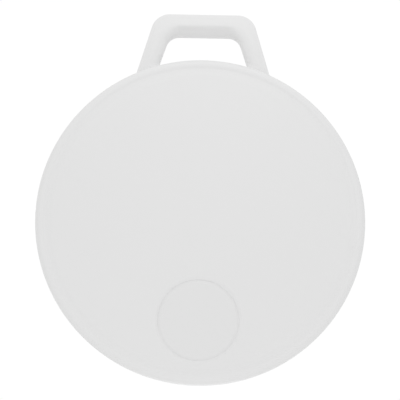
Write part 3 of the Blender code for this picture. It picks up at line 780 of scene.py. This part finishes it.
def front_cover():
    """The front, with rings that run from the button's hole to the concentric rim."""
    hole = BUTTON_RADIUS + BUTTON_GAP
    x, z = BUTTON_CENTRE
    rings = [(x, z, hole, COVER_BACK)]
    # The edge of a hole is an outer edge turned inside out, so its radius goes in with a minus.
    for radius, height in soft_edge(-hole, COVER_FRONT, BUTTON_EDGE, BUTTON_EDGE_DROP)[::-1]:
        rings.append((x, z, -radius, height))
    level = SEAM_RADIUS - COVER_SHOULDER
    shares = [step / PLATE_STEPS for step in range(1, PLATE_STEPS)]
    rings += between(rings[-1], (0.0, 0.0, level, COVER_FRONT), shares)
    for step in range(SHOULDER_STEPS + 1):
        share = step / SHOULDER_STEPS
        rise = smooth_step((1 - share) ** COVER_SHOULDER_POWER)
        rings.append((0.0, 0.0, level + COVER_SHOULDER * share, SEAM_H + (COVER_FRONT - SEAM_H) * rise))
    rings.append((0.0, 0.0, SEAM_RADIUS, COVER_BACK))
    cover = ringed("front_plate", rings, SHELL, FINE)
    placed(cover, "housing", "front_cover")


def button_cap():
    """A crowned cap with a flange behind the cover, and a post that presses the switch."""
    flat = BUTTON_RADIUS - BUTTON_EDGE
    edge_h = COVER_FRONT - BUTTON_SET_BACK
    crown = BUTTON_FRONT - edge_h
    outline = []
    for step in range(CROWN_STEPS):
        share = step / CROWN_STEPS
        outline.append((flat * share, edge_h + crown * (1 - share * share)))
    outline += soft_edge(BUTTON_RADIUS, edge_h, BUTTON_EDGE, BUTTON_EDGE_DROP)
    flange_front = COVER_BACK - FLANGE_GAP
    flange_back = flange_front - FLANGE_THICKNESS
    outline += [
        (BUTTON_RADIUS, flange_front), (BUTTON_FLANGE_RADIUS, flange_front),
        (BUTTON_FLANGE_RADIUS, flange_back), (BUTTON_SKIRT_INNER, flange_back),
        (BUTTON_SKIRT_INNER, BUTTON_ROOF_H), (BUTTON_POST_RADIUS, BUTTON_ROOF_H),
        (BUTTON_POST_RADIUS, BUTTON_POST_H), (0.0, BUTTON_POST_H),
    ]
    cap = turned("button", outline, BUTTON_LOOK, BUTTON_CENTRE)
    placed(cap, "button", "button_cap")


def battery_door():
    """A flat round door, with a snap skirt and crush ribs round it."""
    outline = [(0.0, 0.0), (DOOR_RADIUS - DOOR_GUARD, 0.0)]
    outline += [(radius, -height) for radius, height in quarter_round(DOOR_RADIUS, 0.0, DOOR_EDGE)]
    outline += [
        (DOOR_RADIUS, DOOR_THICKNESS), (SKIRT_OUTER, DOOR_THICKNESS),
        (SKIRT_OUTER, SKIRT_END - SKIRT_EDGE), (SKIRT_OUTER - SKIRT_EDGE, SKIRT_END),
        (SKIRT_INNER + SKIRT_EDGE, SKIRT_END), (SKIRT_INNER, SKIRT_END - SKIRT_EDGE),
        (SKIRT_INNER, DOOR_THICKNESS), (0.0, DOOR_THICKNESS),
    ]
    door = turned("door", outline, SHELL, DOOR_CENTRE)
    rib = [
        (0.0, RIB_LOW_H), (RIB_RADIUS - RIB_EDGE, RIB_LOW_H), (RIB_RADIUS, RIB_LOW_H + RIB_EDGE_H),
        (RIB_RADIUS, RIB_HIGH_H - RIB_EDGE_H), (RIB_RADIUS - RIB_EDGE, RIB_HIGH_H), (0.0, RIB_HIGH_H),
    ]
    x, z = DOOR_CENTRE
    reach = SKIRT_OUTER - RIB_SET_IN
    for index in range(RIB_COUNT):
        angle = 2 * pi * index / RIB_COUNT
        rib_centre = (x + reach * cos(angle), z + reach * sin(angle))
        combined(door, turned("rib", rib, SHELL, rib_centre, TINY), "UNION")
    placed(door, "door", "battery_door")


def plus_sign():
    """The cutter for a generic plus, pressed a little way into the cell's base."""
    arm, width = PLUS_SIZE / 2, PLUS_WIDTH / 2
    half = [(arm, width), (width, width), (width, arm), (-width, arm), (-width, width), (-arm, width)]
    plus = half + [(-u, -v) for u, v in half]
    x, z = DOOR_CENTRE
    shape = bmesh.new()
    layers = []
    for depth, shrink in ((PLUS_DEPTH, PLUS_TAPER), (-PLUS_DEPTH, -PLUS_TAPER)):
        corners = [(u - copysign(shrink, u), v - copysign(shrink, v)) for u, v in plus]
        places = [(x + u, -(CELL_BACK + depth), z + PLUS_PLACE + v) for u, v in corners]
        layers.append([shape.verts.new(place) for place in places])
    floor, mouth = layers
    for i in range(len(plus)):
        ahead = (i + 1) % len(plus)
        shape.faces.new((floor[i], floor[ahead], mouth[ahead], mouth[i]))
    shape.faces.new(floor)
    shape.faces.new(mouth[::-1])
    return new_piece("plus", shape, STEEL)


def cell_can():
    """The cell's outer can: a flat base with a plus sign pressed into it, and a crimped mouth."""
    radius = CELL_RADIUS
    base, mouth = CELL_BACK, CELL_CRIMP
    # The outer two points on each side of the groove keep its shading off the flats.
    groove = [*GROOVE_SIDE, *((-across, deep) for across, deep in GROOVE_SIDE[::-1])]
    outline = [(0.0, base)] + [(CELL_FLAT + across, base + deep) for across, deep in groove]
    outline += [(r, 2 * base - height) for r, height in quarter_round(radius, base, CAN_EDGE)]
    outline += [(radius, base + 2 * CAN_EDGE), (radius, mouth - 2 * CAN_EDGE)]
    outline += quarter_round(radius, mouth, CAN_EDGE)[::-1]
    outline += [
        (CELL_MOUTH + CRIMP_EDGE, mouth), (CELL_MOUTH, mouth - CRIMP_EDGE),
        (CELL_MOUTH, mouth - CRIMP_LIP), (radius - CAN_WALL, mouth - CRIMP_LIP),
        (radius - CAN_WALL, base + CAN_WALL), (0.0, base + CAN_WALL),
    ]
    can = turned("coin_cell_can", outline, STEEL, DOOR_CENTRE, FINE)
    combined(can, plus_sign(), "DIFFERENCE")
    placed(can, "housing", "cell_can")


def cell_foam_pad():
    """A die-cut foam disc with a swollen edge."""
    low, high = heights_of("cell_foam_pad")
    radius = radius_of("cell_foam_pad")
    middle, half = (low + high) / 2, (high - low) / 2
    outline = [(0.0, low)]
    for step in range(ARC + 1):
        angle = -pi / 2 + pi * step / ARC
        outline.append((radius - FOAM_SWELL * (1 - cos(angle)), middle + half * sin(angle)))
    outline.append((0.0, high))
    pad = turned("foam_pad", outline, FOAM, DOOR_CENTRE)
    placed(pad, "door", "cell_foam_pad")


def door_seal():
    """An oval-section ring in the groove round the well."""
    middle, half = (SEAL_LOW + SEAL_HIGH) / 2, (SEAL_HIGH - SEAL_LOW) / 2
    reach = SEAL_WIDTH / 2
    outline = []
    for step in range(SEAL_STEPS):
        angle = 2 * pi * step / SEAL_STEPS
        outline.append((SEAL_INNER + reach * (1 + cos(angle)), middle + half * sin(angle)))
    seal = turned("seal", outline, SEAL, DOOR_CENTRE)
    placed(seal, "housing", "door_seal")


# -------------------------------------------------------------------------- floor, light and camera


def pale_floor():
    shape = bmesh.new()
    bmesh.ops.create_grid(shape, x_segments=1, y_segments=1, size=FLOOR_HALF_WIDTH)
    mesh = bpy.data.meshes.new("floor")
    shape.to_mesh(mesh)
    shape.free()
    floor = bpy.data.objects.new("floor", mesh)
    floor.location.z = FLOOR_Z
    bpy.context.scene.collection.objects.link(floor)
    nodes = Nodes("pale_floor")
    nodes.feed("Base Color", nodes.blend(nodes.noise(8.0), (0.91, 0.91, 0.91, 1), (0.93, 0.93, 0.93, 1)))
    nodes.feed("Roughness", 0.8)
    mesh.materials.append(nodes.material)


def white_sky():
    """An even white world, brighter where it is seen than where it lights the tag."""
    world = bpy.data.worlds.new("studio")
    bpy.context.scene.world = world
    world.use_nodes = True
    tree = world.node_tree
    background = tree.nodes["Background"]
    background.inputs["Color"].default_value = (1, 1, 1, 1)
    seen = tree.nodes.new("ShaderNodeLightPath").outputs["Is Camera Ray"]
    strength = tree.nodes.new("ShaderNodeMapRange")
    strength.inputs["To Min"].default_value = SKY_LIGHT
    strength.inputs["To Max"].default_value = SKY_SEEN
    tree.links.new(seen, strength.inputs["Value"])
    tree.links.new(strength.outputs["Result"], background.inputs["Strength"])
    bpy.context.scene.view_settings.view_transform = "Standard"


def soft_light(name, place, size, watts):
    """A round area light that shines at the tag."""
    light = bpy.data.lights.new(name, "AREA")
    light.shape = "DISK"
    light.size = size
    light.energy = watts
    lamp = bpy.data.objects.new(name, light)
    lamp.location = place
    lamp.rotation_euler = (-lamp.location).to_track_quat("-Z", "Y").to_euler()
    lamp.visible_camera = False
    bpy.context.scene.collection.objects.link(lamp)


def camera():
    """A long lens that looks up at the front, with a slight roll."""
    data = bpy.data.cameras.new("camera")
    data.lens = CAMERA_LENS
    data.clip_start = CAMERA_NEAR
    data.clip_end = CAMERA_FAR
    obj = bpy.data.objects.new("camera", data)
    rise = radians(CAMERA_ELEVATION)
    centre = Vector((0.0, -AIM_DEPTH, 0.0))
    obj.location = centre + Vector((0.0, -cos(rise), sin(rise))) * CAMERA_DISTANCE
    up = Vector((0.0, sin(rise), cos(rise)))
    aim = centre + up * AIM_ABOVE_CENTRE + Vector((AIM_RIGHT, 0.0, 0.0))
    obj.rotation_euler = (aim - obj.location).to_track_quat("-Z", "Y").to_euler()
    obj.rotation_euler.rotate_axis("Z", radians(CAMERA_ROLL))
    bpy.context.scene.collection.objects.link(obj)
    bpy.context.scene.camera = obj


paint_cad_nodes()
main_housing()
front_cover()
button_cap()
battery_door()
door_seal()
cell_can()
cell_foam_pad()

pale_floor()
white_sky()
soft_light("top_softbox", TOP_PLACE, TOP_SIZE, TOP_WATTS)
soft_light("front_low", FRONT_LOW_PLACE, LOW_SIZE, FRONT_LOW_WATTS)
soft_light("rear_low", REAR_LOW_PLACE, LOW_SIZE, REAR_LOW_WATTS)
camera()
